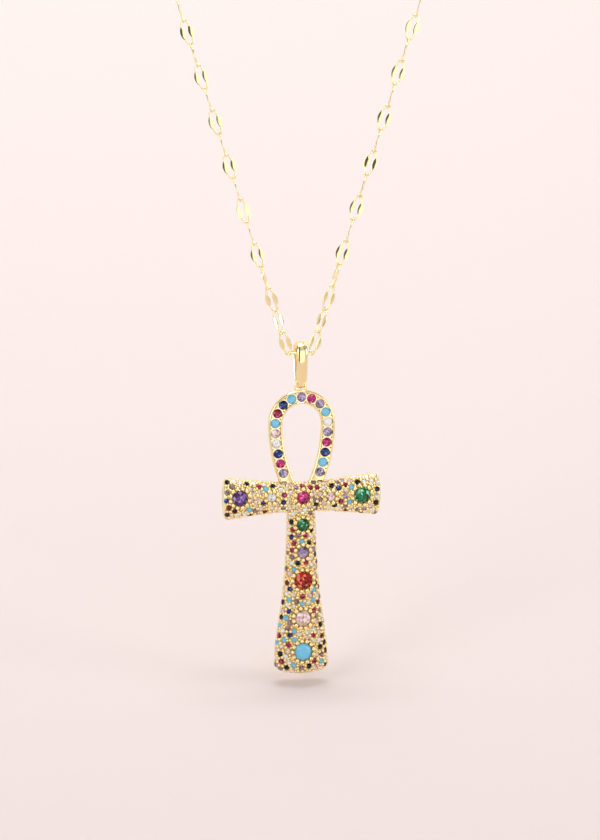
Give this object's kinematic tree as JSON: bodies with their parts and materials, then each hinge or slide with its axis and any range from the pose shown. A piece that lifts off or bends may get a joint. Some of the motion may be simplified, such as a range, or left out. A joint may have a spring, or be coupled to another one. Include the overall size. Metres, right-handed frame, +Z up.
{
  "type": "ankh pendant on its chain",
  "caption": "Gold ankh pendant set with round faceted stones, on a bail and an eye, hanging on its whole chain of lace links with a barrel clasp.",
  "frame": {"origin": "middle of the clasp at the nape, where the necklace rests on the back of a neck", "axes": "+Z up, the pendant's front faces -Y, +X to the viewer's right"},
  "size_m": [0.0938, 0.0677, 0.223],
  "materials": {
    "gold": "high polish",
    "gem_purple": "faceted, clear",
    "gem_clear": "faceted, clear",
    "gem_fuchsia": "faceted, clear",
    "gem_pale_pink": "faceted, clear",
    "gem_green": "faceted, clear",
    "gem_lilac": "faceted, clear",
    "gem_red": "faceted, clear",
    "gem_rose": "faceted, clear",
    "gem_blue": "faceted, clear",
    "turquoise": "polished, faceted"
  },
  "bodies": {
    "chain": {"chain_left": "gold", "chain_right": "gold", "front_link": "gold", "clasp": "gold"},
    "bail": {"bail": "gold"},
    "ankh": {"ankh_body": "gold", "stone_amethyst": "gem_purple", "stone_clear": "gem_clear", "stone_fuchsia": "gem_fuchsia", "stone_pale_pink": "gem_pale_pink", "stone_emerald": "gem_green", "stone_small_emerald": "gem_green", "stone_lavender": "gem_lilac", "stone_garnet": "gem_red", "stone_rose": "gem_rose", "stone_turquoise": "turquoise", "stone_loop_top": "gem_lilac", "stone_loop_right_1": "gem_fuchsia", "stone_loop_left_1": "turquoise", "stone_loop_right_2": "gem_lilac", "stone_loop_left_2": "gem_blue", "stone_loop_right_3": "turquoise", "stone_loop_left_3": "gem_red", "stone_loop_right_4": "gem_clear", "stone_loop_left_4": "turquoise", "stone_loop_right_5": "gem_lilac", "stone_loop_left_5": "gem_pale_pink", "stone_loop_right_6": "gem_fuchsia", "stone_loop_left_6": "gem_clear", "stone_loop_right_7": "gem_blue", "stone_loop_left_7": "gem_blue", "stone_loop_right_8": "turquoise", "stone_loop_left_8": "gem_fuchsia", "stone_loop_right_9": "gem_lilac", "stone_loop_left_9": "gem_lilac"}
  },
  "joints": [
    {"name": "bail_swing", "type": "hinge", "parent": "chain", "child": "bail", "pos_m": [0, -0.06361, -0.16775], "axis": [1, 0, 0], "range_deg": [-60, 60]},
    {"name": "ankh_swing", "type": "hinge", "parent": "bail", "child": "ankh", "pos_m": [0, -0.06361, -0.17283], "axis": [1, 0, 0], "range_deg": [-35, 35]}
  ]
}
